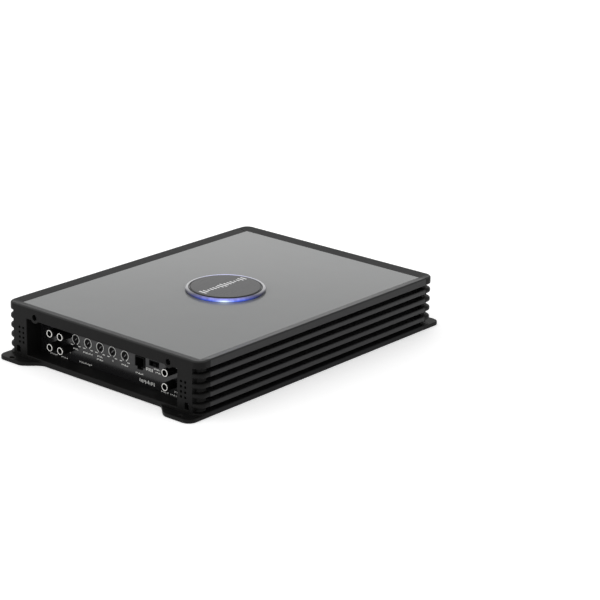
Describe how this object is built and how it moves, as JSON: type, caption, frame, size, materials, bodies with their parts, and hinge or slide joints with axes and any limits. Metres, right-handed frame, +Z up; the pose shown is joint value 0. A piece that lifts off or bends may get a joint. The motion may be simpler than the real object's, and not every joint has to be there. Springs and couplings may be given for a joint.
{
  "type": "car amplifier",
  "caption": "Flat finned car audio amplifier with cast end caps, mounting ears, recessed jacks, dials and terminals, and a lit round badge.",
  "frame": {"origin": "middle of the underside, on the plane that the ears and base strips rest on", "axes": "+X across the fins to the right as seen from the control end, +Y along the body from the control end to the power end, +Z up"},
  "size_m": [0.25, 0.3704, 0.0562],
  "materials": {
    "body_paint": "satin black anodised extrusion, fine grain along the fins",
    "cap_paint": "satin black powder coat on a casting",
    "panel_paint": "smooth satin grey paint",
    "plate_paint": "matt black paint with light printed marks",
    "steel": "zinc plated",
    "black_screw": "black oxide",
    "black_plastic": "moulded, fine texture",
    "nickel": "bright nickel plate",
    "fuse_plastic": "translucent amber",
    "green_board": "green solder mask",
    "copper": "enamelled copper winding",
    "chrome": "polished",
    "light": "clear light guide, lit blue",
    "disc_paint": "satin dark grey with a fine grain",
    "green_lamp": "diffused green lens",
    "red_lamp": "diffused red lens"
  },
  "bodies": {
    "chassis": {"heatsink": "body_paint", "front_end_cap": "cap_paint", "rear_end_cap": "cap_paint", "front_screw_upper_left": "black_screw", "front_screw_upper_right": "black_screw", "front_screw_lower_left": "black_screw", "front_screw_lower_right": "black_screw", "rear_screw_upper_left": "black_screw", "rear_screw_upper_right": "black_screw", "rear_screw_lower_left": "black_screw", "rear_screw_lower_right": "black_screw", "bottom_plate": "steel", "switch_body": "steel", "transistor_clamp_left": "steel", "transistor_clamp_right": "steel", "top_panel": "panel_paint", "badge_bezel": "chrome", "badge_light_ring": "light", "badge_disc": "disc_paint", "badge_light_board": "green_board", "main_board": "green_board", "control_panel": "plate_paint", "terminal_panel": "plate_paint", "rca_block_left": "black_plastic", "rca_block_right": "black_plastic", "remote_jack": "black_plastic", "power_terminal_block": "black_plastic", "speaker_terminal_block": "black_plastic", "fuse_holder": "black_plastic", "capacitor_1": "black_plastic", "capacitor_2": "black_plastic", "rca_sleeve_1": "nickel", "rca_sleeve_2": "nickel", "rca_sleeve_3": "nickel", "rca_sleeve_4": "nickel", "rca_sleeve_5": "nickel", "rca_sleeve_6": "nickel", "dial_body_1": "black_plastic", "dial_body_2": "black_plastic", "dial_body_3": "black_plastic", "dial_body_4": "black_plastic", "dial_body_5": "black_plastic", "power_lamp": "green_lamp", "protect_lamp": "red_lamp", "toroid_transformer": "copper"},
    "dial_1": {"dial_shaft_1": "black_plastic"},
    "dial_2": {"dial_shaft_2": "black_plastic"},
    "dial_3": {"dial_shaft_3": "black_plastic"},
    "dial_4": {"dial_shaft_4": "black_plastic"},
    "dial_5": {"dial_shaft_5": "black_plastic"},
    "switch": {"switch_slider": "black_plastic"},
    "fuse_1": {"fuse_1": "fuse_plastic"},
    "fuse_2": {"fuse_2": "fuse_plastic"},
    "power_screw_1": {"power_terminal_screw_1": "nickel"},
    "power_screw_2": {"power_terminal_screw_2": "nickel"},
    "power_screw_3": {"power_terminal_screw_3": "nickel"},
    "speaker_screw_1": {"speaker_terminal_screw_1": "nickel"},
    "speaker_screw_2": {"speaker_terminal_screw_2": "nickel"},
    "speaker_screw_3": {"speaker_terminal_screw_3": "nickel"},
    "speaker_screw_4": {"speaker_terminal_screw_4": "nickel"}
  },
  "joints": [
    {"name": "dial_1_turn", "type": "hinge", "parent": "chassis", "child": "dial_1", "pos_m": [-0.0499, -0.1538, 0.029], "axis": [0, -1, 0], "range_deg": [-140, 140]},
    {"name": "dial_2_turn", "type": "hinge", "parent": "chassis", "child": "dial_2", "pos_m": [-0.0337, -0.1538, 0.029], "axis": [0, -1, 0], "range_deg": [-140, 140]},
    {"name": "dial_3_turn", "type": "hinge", "parent": "chassis", "child": "dial_3", "pos_m": [-0.0176, -0.1538, 0.029], "axis": [0, -1, 0], "range_deg": [-140, 140]},
    {"name": "dial_4_turn", "type": "hinge", "parent": "chassis", "child": "dial_4", "pos_m": [-0.0017, -0.1538, 0.029], "axis": [0, -1, 0], "range_deg": [-140, 140]},
    {"name": "dial_5_turn", "type": "hinge", "parent": "chassis", "child": "dial_5", "pos_m": [0.0146, -0.1538, 0.029], "axis": [0, -1, 0], "range_deg": [-140, 140]},
    {"name": "switch_slide", "type": "slide", "parent": "chassis", "child": "switch", "axis": [1, 0, 0], "range_m": [-0.005, 0]},
    {"name": "fuse_1_pull", "type": "slide", "parent": "chassis", "child": "fuse_1", "axis": [0, 1, 0], "range_m": [0, 0.025]},
    {"name": "fuse_2_pull", "type": "slide", "parent": "chassis", "child": "fuse_2", "axis": [0, 1, 0], "range_m": [0, 0.025]},
    {"name": "power_screw_1_turn", "type": "hinge", "parent": "chassis", "child": "power_screw_1", "pos_m": [-0.076, 0.158, 0.022], "axis": [0, 1, 0], "range_deg": [0, 720]},
    {"name": "power_screw_2_turn", "type": "hinge", "parent": "chassis", "child": "power_screw_2", "pos_m": [-0.06, 0.158, 0.022], "axis": [0, 1, 0], "range_deg": [0, 720]},
    {"name": "power_screw_3_turn", "type": "hinge", "parent": "chassis", "child": "power_screw_3", "pos_m": [-0.044, 0.158, 0.022], "axis": [0, 1, 0], "range_deg": [0, 720]},
    {"name": "speaker_screw_1_turn", "type": "hinge", "parent": "chassis", "child": "speaker_screw_1", "pos_m": [0.0405, 0.158, 0.022], "axis": [0, 1, 0], "range_deg": [0, 720]},
    {"name": "speaker_screw_2_turn", "type": "hinge", "parent": "chassis", "child": "speaker_screw_2", "pos_m": [0.0535, 0.158, 0.022], "axis": [0, 1, 0], "range_deg": [0, 720]},
    {"name": "speaker_screw_3_turn", "type": "hinge", "parent": "chassis", "child": "speaker_screw_3", "pos_m": [0.0665, 0.158, 0.022], "axis": [0, 1, 0], "range_deg": [0, 720]},
    {"name": "speaker_screw_4_turn", "type": "hinge", "parent": "chassis", "child": "speaker_screw_4", "pos_m": [0.0795, 0.158, 0.022], "axis": [0, 1, 0], "range_deg": [0, 720]}
  ]
}
